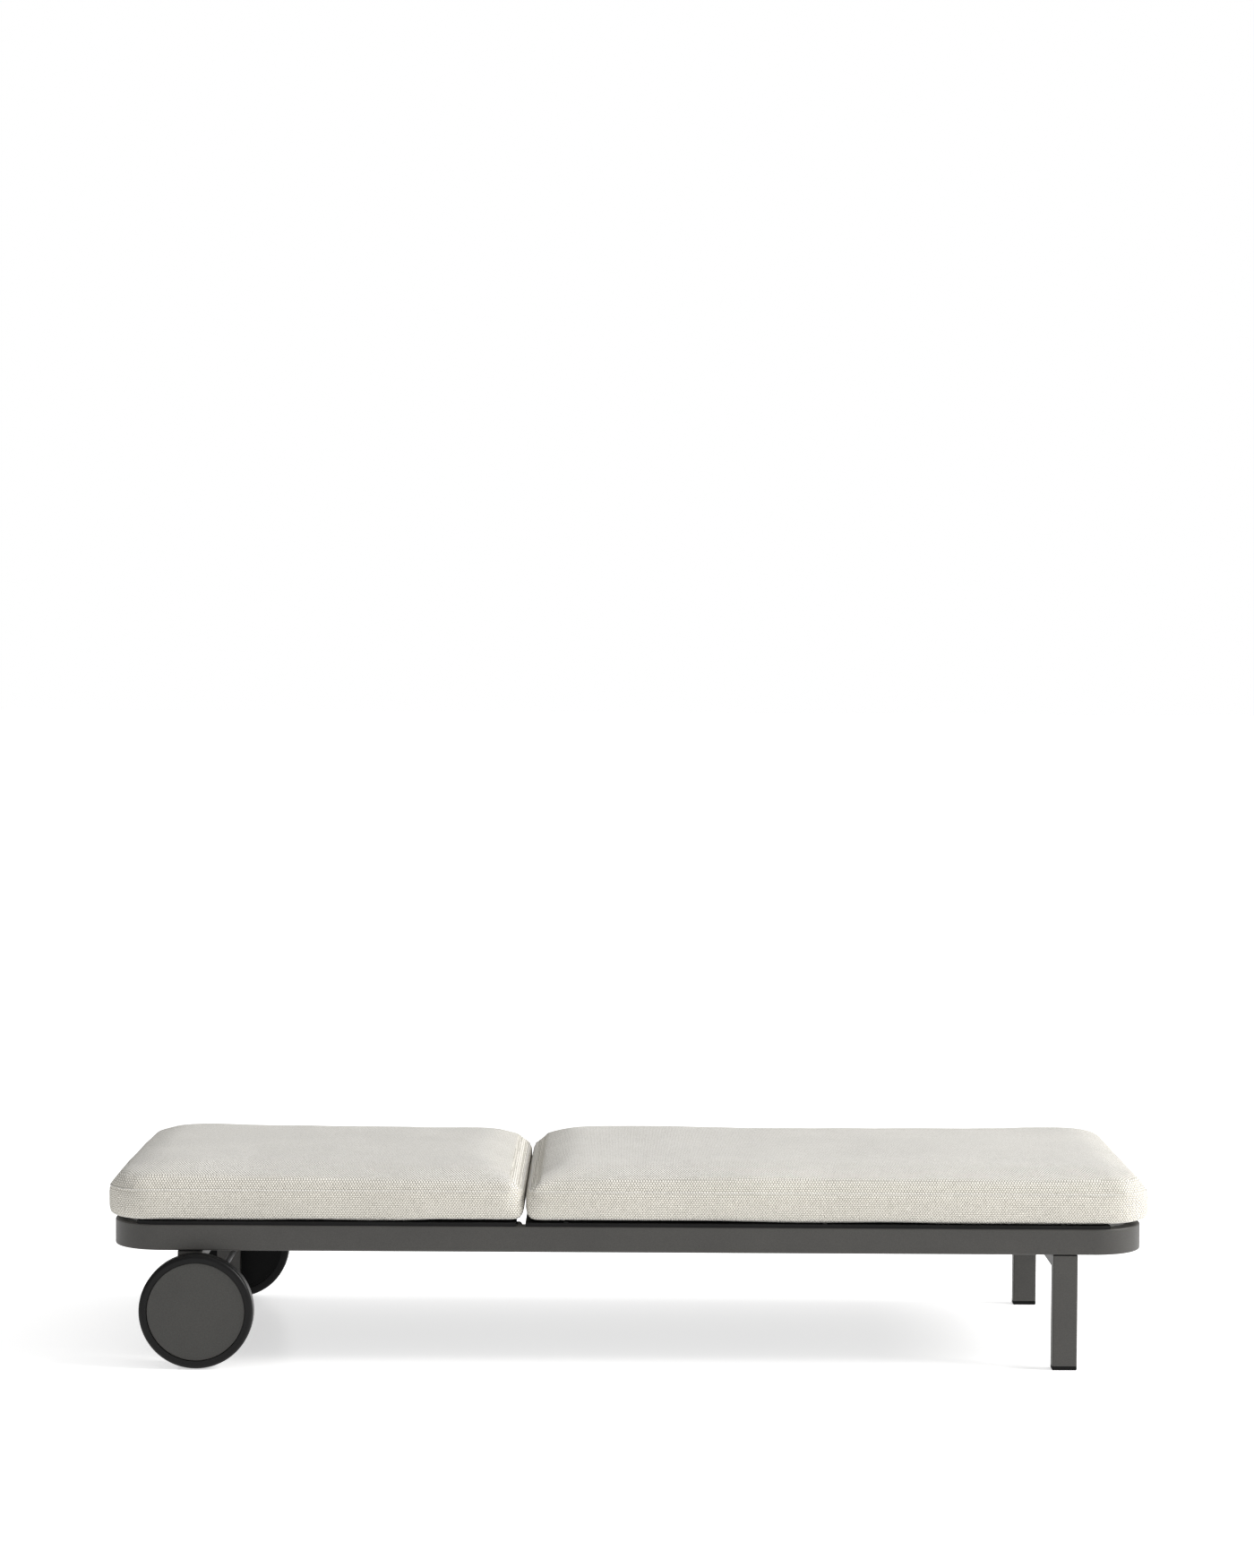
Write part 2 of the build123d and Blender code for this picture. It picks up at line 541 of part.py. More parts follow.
def frame_pieces():
    """Everything that stands on the floor and doesn't move."""
    pieces = rails()
    for end, x in (("head", -LEG_X), ("foot", LEG_X)):
        pieces |= both_sides(f"leg_{end}", leg(x, end == "head"))
        pieces |= both_sides(f"glide_{end}", glide(x))
        pieces[f"crossbar_{end}"] = crossbar(x)
    for name, make in (("leg_pads", leg_pad), ("leg_bolts", leg_bolt)):
        halves = [make(x) for x in (-LEG_X, LEG_X)]
        pieces[name] = halves + [mirror(half, Plane.XZ) for half in halves]
    for place, x in zip(("front", "middle", "rear"), BEARER_XS):
        pieces[f"seat_bearer_{place}"] = bearer(x)
    seat = panel(SEAT_PANEL_X, RING_TOP, BEARER_WIDTH / 2 + SLOT_WIDTH, BEARER_XS)
    top = RING_TOP + PANEL_THICKNESS
    for x, y in seat_screw_places():
        seat -= screw_tool(x, y, top, RUNNING)
    pieces["seat_panel"] = seat
    pieces["seat_panel_screws"] = [screw_tool(x, y, top, 0) for x, y in seat_screw_places()]
    pieces |= both_sides("rack", rack())
    screws = rack_screws()
    pieces["rack_screws"] = screws + [mirror(screw, Plane.XZ) for screw in screws]
    pieces |= both_sides("hinge_bracket", hinge_bracket())
    pieces |= both_sides("hinge_bush", hinge_bush())
    pieces["axle"] = axle()
    pieces |= both_sides("axle_nut", axle_nut())
    pieces |= both_sides("axle_washer", axle_washer())
    pieces["seat_cushion"] = cushion(SEAT_CUSHION_X, top + CUSHION_CLEARANCE, False)
    return pieces


def backrest_pieces():
    """Everything that tilts with the backrest."""
    pieces = {}
    bottom = RING_TOP + BACK_LIFT
    top = bottom + PANEL_THICKNESS
    back = panel(BACK_PANEL_X, bottom, STRINGER / 2 + SLOT_WIDTH, CROSS_TUBE_XS.values())
    for x, y in back_screw_places():
        back -= screw_tool(x, y, top, RUNNING)
    pieces["backrest_panel"] = back
    pieces["backrest_panel_screws"] = [screw_tool(x, y, top, 0) for x, y in back_screw_places()]
    pieces |= both_sides("backrest_stringer", stringer())
    for place, x in CROSS_TUBE_XS.items():
        pieces[f"backrest_cross_tube_{place}"] = cross_tube(x)
    pieces |= both_sides("hinge_ear", hinge_ear())
    pieces |= both_sides("hinge_pin", hinge_pin())
    pieces |= both_sides("stay_pivot", stay_pivot())
    pieces["backrest_cushion"] = cushion(BACK_CUSHION_X, top + CUSHION_CLEARANCE, True)
    return pieces


def stay_pieces():
    """The stay that props the backrest up."""
    pieces = both_sides("stay_arm", stay_arm())
    pieces["stay_bar"] = rod(STAY_BAR_RADIUS, STAY_BAR_X, STAY_BAR_Z, (-STAY_BAR_Y, STAY_BAR_Y))
    return pieces


def wheel_pieces():
    """Both wheels."""
    pieces = both_sides("tyre", tyre())
    pieces |= both_sides("rim", rim())
    pieces |= both_sides("wheel_bush", wheel_bush())
    pieces |= both_sides("wheel_cover", wheel_cover())
    return pieces


def main():
    os.makedirs("parts", exist_ok=True)
    pieces = frame_pieces() | backrest_pieces() | stay_pieces() | wheel_pieces()
    for name, shape in pieces.items():
        solid = Compound(children=shape) if isinstance(shape, list) else shape
        export_step(solid, f"parts/{name}.step")
    print(len(pieces), "nodes; stay bar in the last notch", stay_bar_at(RECLINE_MAX))


main()
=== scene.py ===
import json
import math

import bmesh
import bpy
import numpy as np
from mathutils import Matrix, Vector, noise
from mathutils.bvhtree import BVHTree


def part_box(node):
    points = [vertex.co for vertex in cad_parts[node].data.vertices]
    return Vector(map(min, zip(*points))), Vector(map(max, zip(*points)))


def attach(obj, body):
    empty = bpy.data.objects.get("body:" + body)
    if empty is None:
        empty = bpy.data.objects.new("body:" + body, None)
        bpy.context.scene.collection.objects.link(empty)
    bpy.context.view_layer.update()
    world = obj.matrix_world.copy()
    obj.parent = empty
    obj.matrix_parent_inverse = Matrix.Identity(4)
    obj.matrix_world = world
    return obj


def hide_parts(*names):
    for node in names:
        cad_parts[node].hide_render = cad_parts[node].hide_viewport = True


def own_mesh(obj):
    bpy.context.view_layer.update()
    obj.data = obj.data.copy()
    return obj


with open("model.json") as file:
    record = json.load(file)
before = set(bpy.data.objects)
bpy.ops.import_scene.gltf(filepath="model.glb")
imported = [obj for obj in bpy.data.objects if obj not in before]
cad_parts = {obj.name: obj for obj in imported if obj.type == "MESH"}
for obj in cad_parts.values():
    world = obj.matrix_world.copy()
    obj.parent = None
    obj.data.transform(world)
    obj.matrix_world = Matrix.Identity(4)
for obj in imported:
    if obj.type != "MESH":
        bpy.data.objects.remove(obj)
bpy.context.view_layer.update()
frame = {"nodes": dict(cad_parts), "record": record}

# ------------------------------------------ measures, in metres where nothing else is said

# The cushion's section runs from the seam down the boxing to the base, and up over the crown.
SEAM_HEIGHT = 0.0590  # of the seam above the cushion's base
CROWN_HEIGHT = {"backrest_cushion": 0.0975, "seat_cushion": 0.0950}  # of the top above the base
CROWN_REACH = 0.058  # how far in from the seam the crown rises
GAP_FULLNESS = 2.1  # how square the crown's section is at the gap: 2 is an ellipse
FULLNESS = 2.8  # and further away from the gap
FULLNESS_REACH = 0.25  # from the gap to where the crown is at its fullest
TAPER = {"backrest_cushion": 0.007, "seat_cushion": -0.003}  # fall of the top towards high X
DOME = 0.0035  # how much higher the middle line is than the edges
BASE_INSET = 0.012  # how far the boxing turns in to the base
BASE_ROUND = 0.017  # height over which it does so
BOXING_RING = 0.042  # height of the one ring between that round and the seam
BASE_STEPS = (0.0, 0.25, 0.5, 0.75, 1.0)  # rings of the round at the base
CROWN_STEPS = (0.0, 0.04, 0.09, 0.16, 0.25, 0.36, 0.5, 0.66, 0.82, 1.0)  # rings of the crown

# The corners' radii.
OUTER_CORNER = 0.086
GAP_CORNER = {"backrest_cushion": 0.044, "seat_cushion": 0.034}
GAP_CORNER_BASE = 0.011  # the corners at the gap are sharper at the base
CORNER_FADE = 0.3  # how much smaller a corner's radius is for each metre that a ring is pushed in
SOFT_CORNER = 1.15  # least corner radius of the inner crown, as a share of CROWN_REACH
SOFT_CORNER_FULL = 0.7  # how far in it has taken over, as a share of CROWN_REACH
CORNER_CUTS = 6  # least number of steps round a corner

# Where the form starts before it is inflated, and how far it may go.
PUFF_START = 0.004  # how much smaller it starts on three sides
GAP_START = 0.0010  # and at the gap
PUFF_FRAMES = 14  # length of the simulation
PUFF_CAP = 0.009  # the furthest that a point may go
EDGE_BAND = 0.02  # width of the band at the edge in which the seam is held
HELD_AT_SEAM = 0.6  # half the height of the held seam, in voxels
HELD_AT_BASE = 0.5  # height of the held base, in voxels

# The mesh.
RING_STEP = 0.012  # between the points of a ring
RING_POINTS = 400  # in each ring, so that they can be joined
VOXEL = 0.009  # size of the even quads

# How the crown is laid and evened out.
CROWN_START = 0.003  # distance in from the outline at which it is laid
CROWN_START_SPREAD = 0.012  # width over which it comes in
CROWN_SMOOTHING = 34  # rounds
SMOOTH_AT_EDGE = 0.3  # strength of the smoothing beside the seam
SMOOTH_START = 0.010  # distance in from the outline at which it grows
SMOOTH_SPREAD = 0.045  # width over which it grows to its full strength
SMOOTH_ABOVE_SEAM = 0.7  # height above the seam where it starts, in voxels

# What the filling does.
GAP_LIFT = 0.005  # the base curls up at the facing ends
GAP_LIFT_REACH = 0.030  # how far from the gap the curl goes
GAP_LIFT_FADE = 1.6  # how fast the curl fades with height
GAP_OPEN = 0.014  # how far the facing ends part above the seam
GAP_OPEN_REACH = 0.030  # how far from the gap that goes
GAP_OPEN_RISE = 0.020  # height over which they part
GAP_PLAY = 0.0006  # left between the facing ends where they meet
BASE_WAVE = 0.003  # how far the base edge lifts here and there
BASE_WAVE_SCALE = 5.0  # waves per metre
BASE_WAVE_FADE = 3  # how fast the wave fades with height
TOP_START = 0.030  # height above the base at which the hollows of the top begin
TOP_SPREAD = 0.040  # height over which they grow to their full depth
BROAD_HOLLOWS = (4.0, 0.0034)  # hollows per metre, and depth
FINE_HOLLOWS = (15.0, 0.0010)
BOXING_SWELL = (9.0, 0.0016)  # swells per metre along the boxing, and depth
SEAM_SINK = 0.0018  # the stitches pull the surface in along the seam
SEAM_SPREAD = 0.006  # how far above and below the seam that shows
SEAM_BAND = 0.03  # and how far in from the outline

# The welts, thin rounds half sunk in the surface.
PIPING = 0.0017  # radius
BASE_PIPING = 0.0009  # radius
BASE_SEAM_HEIGHT = 0.008  # above the cushion's base
SEAM_PITCH = 0.004  # between points along a seam
WELT_SEARCH = 0.03  # how far outside the outline the search for the surface starts

# The cloth.
WEAVE_PITCH = 0.0052  # from loop to loop in a row
WEAVE_ROW = 0.0037  # from row to row
WEAVE_WOBBLE = 0.0022  # how far the loops stray
RIB_SHAPE = 0.6  # less than 1 makes broad ribs with narrow pits between
ROW_DEPTH = 0.62  # how deep the pits between the rows are, as a share of the loop
FIBRE_SHARE = 0.26  # how much of the colour comes from the fibres' own tone; the rest is the loops' colour, with painted shade in the pits
FACING = 4.0  # how sharply the surface's direction counts
TOP_LIMIT = 0.6  # surfaces steeper than this wear the weave of the sides
END_LIMIT = 0.25  # and those facing X more than this, the weave of the ends
PAINTED_SIDE_SHADE = (0.93, 0.912, 0.865)  # painted shade: a warm darkening of the upright surfaces, so the sides read darker than the top

# The studio.
FLOOR_HALF = 60.0  # half its side
FLOOR_GLOW = 0.56  # strength of its own light
WORLD_LOW = 0.32  # strength of the light from the head end
WORLD_HIGH = 0.76  # and from the foot end
KEY_PLACE = (9.0, -1.5, 6.4)
KEY_TARGET = (0.1, 0.0, 0.25)
KEY_SIZE = (4.6, 4.6)
KEY_POWER = 1190.0  # W
KEY_COLOUR = (1.0, 0.99, 0.975)
WHITE = (1.0, 1.0, 1.0)

# The camera, with its turns in radians.
CAMERA_PLACE = (-0.0247, -7.0742, 1.4046)
CAMERA_PITCH = 0.04111
CAMERA_YAW = 0.002625
CAMERA_ROLL = 0.005789
SENSOR = 36.0  # mm
LENS = 100.80  # mm


# ---------------------------------------------------------------- small helpers


def new_object(name, mesh):
    """A mesh object linked to the scene."""
    obj = bpy.data.objects.new(name, mesh)
    bpy.context.scene.collection.objects.link(obj)
    return obj


def smooth(obj):
    """Smooth shading on every face."""
    for face in obj.data.polygons:
        face.use_smooth = True


def made_mesh(obj):
    """The mesh that an object's modifiers or curve settings make."""
    depsgraph = bpy.context.evaluated_depsgraph_get()
    return bpy.data.meshes.new_from_object(obj.evaluated_get(depsgraph))


def apply_modifiers(obj):
    """Turns what the modifiers make into the object's own mesh."""
    mesh = made_mesh(obj)
    obj.modifiers.clear()
    old = obj.data
    obj.data = mesh
    bpy.data.meshes.remove(old)


def coords(mesh):
    """All vertex positions as an array."""
    co = np.empty(len(mesh.vertices) * 3)
    mesh.vertices.foreach_get("co", co)
    return co.reshape(-1, 3)


def set_coords(mesh, co):
    """Writes vertex positions from an array."""
    mesh.vertices.foreach_set("co", co.astype(np.float32).ravel())
    mesh.update()


# ---------------------------------------------------------------- materials


class Nodes:
    """A short way to write a node material.

    A source is a node, which stands for its first output, or a (node, output) pair.
    """

    def __init__(self, name):
        self.material = bpy.data.materials.new(name)
        self.material.use_nodes = True
        self.tree = self.material.node_tree
        self.tree.nodes.clear()
        out = self.add("ShaderNodeOutputMaterial")
        self.shader = self.add("ShaderNodeBsdfPrincipled")
        self.link(self.shader, out, 0)
        self.place = self.add("ShaderNodeTexCoord")

    def add(self, kind, **settings):
        """A new node."""
        node = self.tree.nodes.new(kind)
        for key, value in settings.items():
            setattr(node, key, value)
        return node

    def link(self, source, node, into):
        """Joins a source to a node's input."""
        start, out = source if isinstance(source, tuple) else (source, 0)
        self.tree.links.new(start.outputs[out], node.inputs[into])

    def feed(self, value, node, into):
        """Gives an input a source, a number or a colour."""
        first = value[0] if isinstance(value, tuple) else value
        if hasattr(first, "outputs"):
            self.link(value, node, into)
        elif isinstance(value, tuple):
            node.inputs[into].default_value = (*value, 1)
        else:
            node.inputs[into].default_value = value

    def noise(self, scale, detail=2.0, roughness=0.5, stretch=(1, 1, 1)):
        """Noise, with its scale in features per metre."""
        mapping = self.add("ShaderNodeMapping")
        mapping.inputs["Scale"].default_value = stretch
        self.link((self.place, "Object"), mapping, "Vector")
        node = self.add("ShaderNodeTexNoise")
        node.inputs["Scale"].default_value = scale
        node.inputs["Detail"].default_value = detail
        node.inputs["Roughness"].default_value = roughness
        self.link(mapping, node, "Vector")
        return node

    def ramp(self, source, low, high, start=0.3, end=0.7):
        """A colour or grey that goes from low to high between two values of a source."""
        node = self.add("ShaderNodeValToRGB")
        for element, at, colour in zip(node.color_ramp.elements, (start, end), (low, high)):
            element.position = at
            element.color = (*colour, 1) if isinstance(colour, tuple) else (colour, colour, colour, 1)
        self.link(source, node, 0)
        return node

    def math(self, operation, a, b=None, clamp=False):
        """A maths node on one or two numbers or sources."""
        node = self.add("ShaderNodeMath", operation=operation, use_clamp=clamp)
        self.feed(a, node, 0)
        if b is not None:
            self.feed(b, node, 1)
        return node

    def either(self, factor, a, b):
        """The first value where the factor is 0, the second where it is 1."""
        node = self.add("ShaderNodeMix")
        self.feed(factor, node, 0)
        self.feed(a, node, 2)
        self.feed(b, node, 3)
        return node

    def mix(self, factor, a, b, blend="MIX"):
        """A mix of two colours."""
        node = self.add("ShaderNodeMix", data_type="RGBA", blend_type=blend)
        self.feed(factor, node, 0)
        self.feed(a, node, 6)
        self.feed(b, node, 7)
        return node, 2

    def bump(self, height, distance, strength, below=None):
        """Relief from a height value, in metres, on top of another relief."""
        node = self.add("ShaderNodeBump")
        node.inputs["Distance"].default_value = distance
        node.inputs["Strength"].default_value = strength
        self.link(height, node, "Height")
        if below is not None:
            self.link(below, node, "Normal")
        self.link(node, self.shader, "Normal")
        return node

    def set(self, **values):
        """Sets inputs of the shader, named with underscores for spaces."""
        for key, value in values.items():
            self.shader.inputs[key.replace("_", " ")].default_value = value


def coated(name, dark, light, rough, grain, grain_depth, specular=0.5):
    """Powder coat or moulded plastic: cloudy tone, varied gloss, fine grain."""
    m = Nodes(name)
    cloud = m.noise(scale=9.0, detail=4.0)
    fine = m.noise(scale=grain, roughness=0.6)
    speck = m.noise(scale=0.45 * grain, detail=1.0)
    tone = m.ramp(cloud, dark, light)
    spots = m.ramp(speck, 0.88, 1.1, start=0.35, end=0.65)
    m.link(m.mix(1.0, tone, spots, "MULTIPLY"), m.shader, "Base Color")
    m.link(m.ramp(cloud, rough - 0.04, rough + 0.05), m.shader, "Roughness")
    m.set(Specular_IOR_Level=specular)
    m.bump(fine, grain_depth, strength=0.6)
    return m.material


def zinc(name):
    """Zinc-plated steel with a faint drawn grain."""
    m = Nodes(name)
    grain = m.noise(scale=420.0, detail=3.0, roughness=0.6, stretch=(1, 0.08, 1))
    cloud = m.noise(scale=60.0, detail=3.0)
    m.link(m.ramp(cloud, (0.40, 0.40, 0.41), (0.58, 0.58, 0.57)), m.shader, "Base Color")
    m.link(m.ramp(grain, 0.28, 0.46), m.shader, "Roughness")
    m.set(Metallic=1.0)
    m.bump(grain, 0.0001, strength=0.5)
    return m.material


def cloth(name, light, dark, painted_pit_shade):
    """Basket weave in three planes: ribs of short yarn loops, with slubs and soft tone changes.

    The weave is laid along X and Y on the top and along X or Y and Z on the sides,
    and the surface's own direction picks the plane.
    """
    m = Nodes(name)
    shift = m.add("ShaderNodeVectorMath", operation="SCALE")
    m.link((m.noise(scale=55.0), 1), shift, 0)
    shift.inputs["Scale"].default_value = WEAVE_WOBBLE
    moved = m.add("ShaderNodeVectorMath", operation="ADD")
    m.link((m.place, "Object"), moved, 0)
    m.link(shift, moved, 1)
    split = m.add("ShaderNodeSeparateXYZ")
    m.link(moved, split, 0)
    normal = m.add("ShaderNodeSeparateXYZ")
    m.link((m.place, "Normal"), normal, 0)

    def waves(across, along):
        """Height of the loops: rows counted along one axis, each half a loop on from the last."""
        row = m.math("DIVIDE", (split, along), WEAVE_ROW)
        odd = m.math("MODULO", m.math("FLOOR", row), 2.0)
        step = m.math("MULTIPLY", odd, math.pi / 2)
        turn = m.math("MULTIPLY", (split, across), math.pi / WEAVE_PITCH)
        rib = m.math("ABSOLUTE", m.math("SINE", m.math("ADD", turn, step)))
        loop = m.math("ABSOLUTE", m.math("SINE", m.math("MULTIPLY", row, math.pi)))
        loop = m.math("ADD", m.math("MULTIPLY", loop, ROW_DEPTH), 1 - ROW_DEPTH)
        return m.math("MULTIPLY", m.math("POWER", rib, RIB_SHAPE), loop)

    up = m.math("POWER", m.math("ABSOLUTE", (normal, "Z")), FACING)
    along_x = m.math("POWER", m.math("ABSOLUTE", (normal, "X")), FACING)
    upright = m.math("SUBTRACT", 1.0, up, clamp=True)
    is_end = m.math("GREATER_THAN", along_x, END_LIMIT)
    is_wall = m.math("GREATER_THAN", upright, TOP_LIMIT)
    walls = m.either(is_end, waves("X", "Z"), waves("Y", "Z"))
    height = m.either(is_wall, waves("X", "Y"), walls)

    yarn = m.noise(scale=520.0, roughness=0.6)
    slub = m.noise(scale=230.0, stretch=(1, 0.4, 0.4))
    cloud = m.noise(scale=5.5, detail=3.0)
    # painted shade: the pits between the loops are coloured darker than the loops
    pits = m.ramp(height, painted_pit_shade, light, start=0.12, end=0.72)
    fibre = m.ramp(slub, dark, light, start=0.3, end=0.62)
    tone = m.ramp(cloud, 0.96, 1.03)
    colour = m.mix(FIBRE_SHARE, pits, fibre)
    colour = m.mix(1.0, colour, tone, "MULTIPLY")
    # painted shade: the upright surfaces are tinted darker and warmer than the top
    colour = m.mix(1.0, colour, m.mix(upright, WHITE, PAINTED_SIDE_SHADE), "MULTIPLY")
    m.link(colour, m.shader, "Base Color")
    m.set(Roughness=0.92, Specular_IOR_Level=0.18, Sheen_Weight=0.25, Sheen_Roughness=0.5)
    fibres = m.bump(yarn, 0.0006, strength=0.5)
    slubs = m.bump(slub, 0.0009, strength=0.5, below=fibres)
    m.bump(height, 0.0022, strength=0.9, below=slubs)
    return m.material


# One look per material slot of the CAD record. The tones are linear and the grain is per metre.
COATINGS = {
    "frame_coat": dict(
        name="graphite_coat",
        dark=(0.0405, 0.0385, 0.0350),
        light=(0.0505, 0.0485, 0.0440),
        rough=0.46,
        grain=1400.0,
        grain_depth=0.00025,
    ),
    "graphite_plastic": dict(
        name="wheel_cover_plastic",
        dark=(0.040, 0.039, 0.036),
        light=(0.049, 0.048, 0.044),
        rough=0.55,
        grain=900.0,
        grain_depth=0.0002,
        specular=0.4,
    ),
    "deck_board": dict(
        name="deck_laminate",
        dark=(0.005, 0.005, 0.005),
        light=(0.009, 0.009, 0.009),
        rough=0.62,
        grain=700.0,
        grain_depth=0.0003,
        specular=0.15,
    ),
    "black_plastic": dict(
        name="black_plastic",
        dark=(0.004, 0.004, 0.004),
        light=(0.007, 0.007, 0.007),
        rough=0.6,
        grain=1100.0,
        grain_depth=0.0002,
        specular=0.12,
    ),
    "nylon": dict(
        name="nylon",
        dark=(0.035, 0.035, 0.036),
        light=(0.05, 0.05, 0.05),
        rough=0.38,
        grain=800.0,
        grain_depth=0.0001,
    ),
    "tyre_rubber": dict(
        name="tyre_rubber",
        dark=(0.004, 0.004, 0.004),
        light=(0.008, 0.008, 0.008),
        rough=0.34,
        grain=600.0,
        grain_depth=0.0002,
        specular=0.16,
    ),
}
finish_of = {slot: coated(**look) for slot, look in COATINGS.items()}
finish_of["steel"] = zinc("zinc_steel")
finish_of["outdoor_cloth"] = cloth(
    "outdoor_weave", light=(0.94, 0.925, 0.885), dark=(0.70, 0.68, 0.63), painted_pit_shade=(0.27, 0.245, 0.19)
)
# painted highlight: the welts wear a lighter copy of the cushion cloth, so the seams read as light
# lines
highlighted_welt_cloth = cloth(
    "welt_weave_painted_highlight", light=(0.92, 0.91, 0.89), dark=(0.84, 0.82, 0.78), painted_pit_shade=(0.66, 0.63, 0.58)
)


def dress_frame():
    """Gives every CAD node the finish of its material slot."""
    for part in frame["record"]["subparts"]:
        obj = frame["nodes"][part["node"]]
        obj.data.materials.clear()
        obj.data.materials.append(finish_of[part["material_slot"]])


# ---------------------------------------------------------------- cushions


def rounded_outline(low, high, radii, step):
    """Points round a rounded rectangle, anticlockwise, with a corner radius for low X and high X."""
    (x0, y0), (x1, y1) = low, high
    corners = (
        (x1 - radii[1], y0 + radii[1], radii[1], -90),
        (x1 - radii[1], y1 - radii[1], radii[1], 0),
        (x0 + radii[0], y1 - radii[0], radii[0], 90),
        (x0 + radii[0], y0 + radii[0], radii[0], 180),
    )
    points = []
    for i, (cx, cy, r, start) in enumerate(corners):
        turns = max(CORNER_CUTS, int(math.pi / 2 * r / step))
        for k in range(turns + 1):
            a = math.radians(start + 90 * k / turns)
            points.append((cx + r * math.cos(a), cy + r * math.sin(a)))
        next_x, next_y, next_r, next_start = corners[(i + 1) % 4]
        a = math.radians(next_start)
        ahead = (next_x + next_r * math.cos(a), next_y + next_r * math.sin(a))
        here = points[-1]
        cuts = max(1, int(math.dist(here, ahead) / step))
        points += [
            (here[0] + (ahead[0] - here[0]) * k / cuts, here[1] + (ahead[1] - here[1]) * k / cuts)
            for k in range(1, cuts)
        ]
    return points


def resampled(points, count):
    """The same closed line cut into equal parts."""
    pts = np.array(points + points[:1])
    seg = np.linalg.norm(np.diff(pts, axis=0), axis=1)
    s = np.concatenate([[0], np.cumsum(seg)])
    t = np.linspace(0, s[-1], count, endpoint=False)
    return np.stack([np.interp(t, s, pts[:, k]) for k in range(3)], axis=1)


def crown(t, fullness):
    """Rise of the crown, 0 at the seam to 1 on top, for t from 0 to 1 inwards."""
    return (1 - (1 - np.clip(t, 0, 1)) ** fullness) ** (1 / fullness)


def eased(t):
    """A smooth step from 0 to 1."""
    t = np.clip(t, 0, 1)
    return t * t * (3 - 2 * t)


def inside_by(x, y, low, high, radii):
    """How far points are inside a rounded outline, with a corner radius for low X and high X."""
    x_mid, y_mid = (low[0] + high[0]) / 2, (low[1] + high[1]) / 2
    r = np.where(x > x_mid, radii[1], radii[0])
    qx = np.abs(x - x_mid) - (high[0] - low[0]) / 2 + r
    qy = np.abs(y - y_mid) - (high[1] - low[1]) / 2 + r
    outside = np.hypot(np.maximum(qx, 0), np.maximum(qy, 0))
    return -(outside + np.minimum(np.maximum(qx, qy), 0) - r)


def start_limits(low, high, outer_low):
    """Where the form starts, a little inside the cushion's own limits."""
    ends = (PUFF_START, GAP_START) if outer_low else (GAP_START, PUFF_START)
    return (low.x + ends[0], low.y + PUFF_START), (high.x - ends[1], high.y - PUFF_START)


def cushion_shell(name, lo, hi, radii, base, height):
    """A closed boxed form: flat base, boxing up to the seam and a crown."""
    rings = []

    def ring(push, z):
        """One closed line round the form, pushed in from its limits."""
        share = min(1.0, (z - base) / SEAM_HEIGHT)
        sharp = [min(r, GAP_CORNER_BASE) if r < OUTER_CORNER else r for r in radii]
        corner = [a + (b - a) * share - CORNER_FADE * push for a, b in zip(sharp, radii)]
        corner = [max(r, GAP_CORNER_BASE / 2) for r in corner]
        edge = rounded_outline(
            (lo[0] + push, lo[1] + push), (hi[0] - push, hi[1] - push), corner, RING_STEP
        )
        rings.append([(x, y, z) for x, y in edge])

    for t in BASE_STEPS:
        a = math.pi / 2 * t
        ring(BASE_INSET * (1 - math.sin(a)), base + BASE_ROUND * (1 - math.cos(a)))
    ring(0.0, base + BOXING_RING)
    seam = base + SEAM_HEIGHT
    for t in CROWN_STEPS:
        ring(CROWN_REACH * t, seam + (height - SEAM_HEIGHT) * crown(t, GAP_FULLNESS))
    mesh = bmesh.new()
    loops = []
    for points in rings:
        loops.append([mesh.verts.new(p) for p in resampled(points, RING_POINTS)])
    for a, b in zip(loops, loops[1:]):
        for i in range(RING_POINTS):
            j = (i + 1) % RING_POINTS
            mesh.faces.new((a[i], a[j], b[j], b[i]))
    mesh.faces.new(list(reversed(loops[0])))
    mesh.faces.new(loops[-1])
    data = bpy.data.meshes.new(name)
    mesh.to_mesh(data)
    mesh.free()
    return new_object(name, data)


def soft_noise(points, scale, amount, seed):
    """Smooth offsets that look random, one per point."""
    shift = Vector((seed * 3.7, seed * 1.3, seed * 5.1))
    return np.array([noise.noise(Vector(p) * scale + shift) for p in points]) * amount


def puff(obj, held):
    """Inflates the form as cloth, held at some points, with a cap on how far any point moves."""
    start = coords(obj.data)
    group = obj.vertex_groups.new(name="held")
    group.add([int(i) for i in np.flatnonzero(held)], 1.0, "REPLACE")
    cloth_mod = obj.modifiers.new("puff", "CLOTH")
    settings = cloth_mod.settings
    settings.quality = 4
    settings.mass = 0.35
    settings.tension_stiffness = 14
    settings.compression_stiffness = 14
    settings.shear_stiffness = 6
    settings.bending_stiffness = 2.0
    settings.vertex_group_mass = "held"
    settings.use_pressure = True
    settings.uniform_pressure_force = 4.0
    settings.effector_weights.gravity = 0.0
    cloth_mod.collision_settings.use_collision = False
    cloth_mod.point_cache.frame_start = 1
    cloth_mod.point_cache.frame_end = PUFF_FRAMES
    for step in range(1, PUFF_FRAMES + 1):
        bpy.context.scene.frame_set(step)
    apply_modifiers(obj)
    bpy.context.scene.frame_set(1)
    moved = coords(obj.data) - start
    far = np.linalg.norm(moved, axis=1)
    share = PUFF_CAP * np.tanh(far / PUFF_CAP) / np.maximum(far, 1e-9)
    set_coords(obj.data, start + moved * share[:, None])


def remesh(obj, size):
    """Even quads of one size."""
    modifier = obj.modifiers.new("even", "REMESH")
    modifier.mode = "VOXEL"
    modifier.voxel_size = size
    apply_modifiers(obj)


def refine(obj):
    """One round of subdivision."""
    modifier = obj.modifiers.new("fine", "SUBSURF")
    modifier.levels = 1
    modifier.render_levels = 1
    apply_modifiers(obj)


